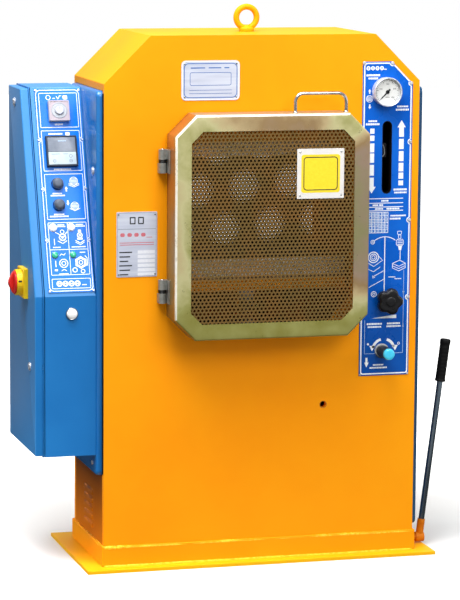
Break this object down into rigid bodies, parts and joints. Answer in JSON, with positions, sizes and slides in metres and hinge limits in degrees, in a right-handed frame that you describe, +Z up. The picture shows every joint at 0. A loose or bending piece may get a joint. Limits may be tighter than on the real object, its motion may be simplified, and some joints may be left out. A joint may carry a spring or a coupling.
{
  "type": "vulcanizing machine",
  "caption": "Hydraulic vulcanizing press with an octagonal guard door, heated platens, a pump lever and a side control cabinet.",
  "frame": {"origin": "centre of the base plate's underside, on the floor", "axes": "+X to the machine's right as its user faces it, +Y to the rear, +Z up"},
  "size_m": [1.0519, 0.45, 1.2898],
  "materials": {
    "orange_enamel": "powder-coated steel, satin orange",
    "blue_enamel": "powder-coated sheet steel, satin blue",
    "printed_blue": "printed aluminium plate, satin",
    "zinc_chromate": "zinc-plated sheet steel, yellow passivated",
    "grey_zinc": "zinc-plated steel, grey",
    "bright_steel": "bright drawn steel",
    "ground_steel": "ground steel plate",
    "insulation_board": "pressed fibre insulation board",
    "black_plastic": "moulded black plastic",
    "grey_plastic": "moulded light grey plastic",
    "dark_plastic": "moulded dark grey plastic",
    "cyan_plastic": "moulded light blue plastic",
    "white_lens": "translucent white lamp lens",
    "green_lens": "translucent green lamp lens",
    "yellow_plastic": "moulded yellow plastic",
    "red_plastic": "moulded red plastic",
    "silver_foil": "anodised aluminium plate",
    "white_sheet": "white lacquered aluminium plate",
    "clear_glass": "flat instrument glass"
  },
  "bodies": {
    "machine": {"base_plate": "orange_enamel", "plinth": "orange_enamel", "front_plate": "orange_enamel", "rear_plate": "orange_enamel", "top_cover": "orange_enamel", "left_lower_panel": "orange_enamel", "right_lower_panel": "orange_enamel", "left_side_cover": "blue_enamel", "right_side_cover": "blue_enamel", "lifting_eye": "grey_zinc", "throat_lining": "orange_enamel", "upper_crosshead": "orange_enamel", "upper_insulation": "insulation_board", "upper_platen": "ground_steel", "hydraulic_cylinder": "ground_steel", "rear_guard": "zinc_chromate", "right_control_plate": "printed_blue", "gauge_case": "bright_steel", "gauge_lens": "clear_glass", "name_plate": "silver_foil", "data_plate": "silver_foil", "valve_block": "ground_steel", "hand_pump": "grey_zinc", "cabinet_body": "blue_enamel", "left_control_plate": "printed_blue", "timer_body": "grey_plastic", "temperature_controller": "dark_plastic", "white_lamp_pair": "white_lens", "green_lamp_pair": "green_lens", "power_lamp": "white_lens", "mounting_plate": "grey_zinc", "hinge_block_upper": "grey_zinc", "hinge_block_lower": "grey_zinc"},
    "guard_door": {"door_frame": "zinc_chromate", "door_mesh": "zinc_chromate", "door_handle": "bright_steel", "sign_plate": "white_sheet", "hinge_leaf_upper": "grey_zinc", "hinge_leaf_lower": "grey_zinc"},
    "lower_press": {"ram": "bright_steel", "lower_bolster": "orange_enamel", "lower_insulation": "insulation_board", "lower_platen": "ground_steel", "travel_pointer": "bright_steel"},
    "pump_lever": {"lever_socket": "orange_enamel", "lever_rod": "bright_steel", "lever_grip": "black_plastic"},
    "plunger": {"pump_plunger": "bright_steel"},
    "needle": {"gauge_needle": "black_plastic"},
    "regulator_knob": {"pressure_knob": "black_plastic"},
    "release_knob": {"valve_knob": "cyan_plastic"},
    "timer_dial": {"timer_knob": "grey_plastic"},
    "upper_button": {"reset_button_upper": "dark_plastic"},
    "lower_button": {"reset_button_lower": "dark_plastic"},
    "side_door": {"cabinet_door": "blue_enamel", "main_switch_base": "yellow_plastic"},
    "main_switch": {"main_switch_handle": "red_plastic"},
    "upper_door_lock": {"cabinet_lock_upper": "bright_steel"},
    "lower_door_lock": {"cabinet_lock_lower": "bright_steel"},
    "side_cover_lock": {"cover_lock": "bright_steel"}
  },
  "joints": [
    {"name": "door_swing", "type": "hinge", "parent": "machine", "child": "guard_door", "pos_m": [-0.2415, -0.174, 0.618], "axis": [0, 0, -1], "range_deg": [0, 100]},
    {"name": "platen_lift", "type": "slide", "parent": "machine", "child": "lower_press", "axis": [0, 0, 1], "range_m": [-0.08, 0.06]},
    {"name": "lever_pump", "type": "hinge", "parent": "machine", "child": "pump_lever", "pos_m": [0.412, -0.108, 0.023], "axis": [1, 0, 0], "range_deg": [-10, 60]},
    {"name": "plunger_stroke", "type": "slide", "parent": "machine", "child": "plunger", "axis": [0, 0, 1], "range_m": [-0.0053, 0.0315]},
    {"name": "gauge_needle_turn", "type": "hinge", "parent": "machine", "child": "needle", "pos_m": [0.2906, -0.1821, 1.0934], "axis": [0, 1, 0], "range_deg": [0, 270]},
    {"name": "pressure_knob_turn", "type": "hinge", "parent": "machine", "child": "regulator_knob", "pos_m": [0.3017, -0.1651, 0.606], "axis": [0, 1, 0], "range_deg": [-720, 720]},
    {"name": "valve_knob_turn", "type": "hinge", "parent": "machine", "child": "release_knob", "pos_m": [0.291, -0.1651, 0.487], "axis": [0, 1, 0], "range_deg": [-180, 180]},
    {"name": "timer_knob_turn", "type": "hinge", "parent": "machine", "child": "timer_dial", "pos_m": [-0.4446, -0.00976, 1.04807], "axis": [0, 0.9433, -0.3321], "range_deg": [0, 300]},
    {"name": "reset_upper_press", "type": "slide", "parent": "machine", "child": "upper_button", "axis": [0, 0.9433, -0.3321], "range_m": [0, 0.004], "stiffness_N_per_m": 400, "springref_m": -0.002},
    {"name": "reset_lower_press", "type": "slide", "parent": "machine", "child": "lower_button", "axis": [0, 0.9433, -0.3321], "range_m": [0, 0.004], "stiffness_N_per_m": 400, "springref_m": -0.002},
    {"name": "cabinet_door_swing", "type": "hinge", "parent": "machine", "child": "side_door", "pos_m": [-0.507, 0.16, 0.266], "axis": [0, 0, -1], "range_deg": [0, 110]},
    {"name": "main_switch_turn", "type": "hinge", "parent": "side_door", "child": "main_switch", "pos_m": [-0.5538, -0.0335, 0.6565], "axis": [1, 0, 0], "range_deg": [0, 90]},
    {"name": "cabinet_lock_upper_turn", "type": "hinge", "parent": "side_door", "child": "upper_door_lock", "pos_m": [-0.53, 0.0804, 1.0624], "axis": [1, 0, 0], "range_deg": [0, 90]},
    {"name": "cabinet_lock_lower_turn", "type": "hinge", "parent": "side_door", "child": "lower_door_lock", "pos_m": [-0.53, -0.0875, 0.4687], "axis": [1, 0, 0], "range_deg": [0, 90]},
    {"name": "cover_lock_turn", "type": "hinge", "parent": "machine", "child": "side_cover_lock", "pos_m": [-0.3885, -0.1136, 0.9174], "axis": [1, 0, 0], "range_deg": [0, 90]}
  ],
  "couplings": [
    {"joint": "plunger_stroke", "follows": "lever_pump", "m_per_rad": 0.03}
  ]
}
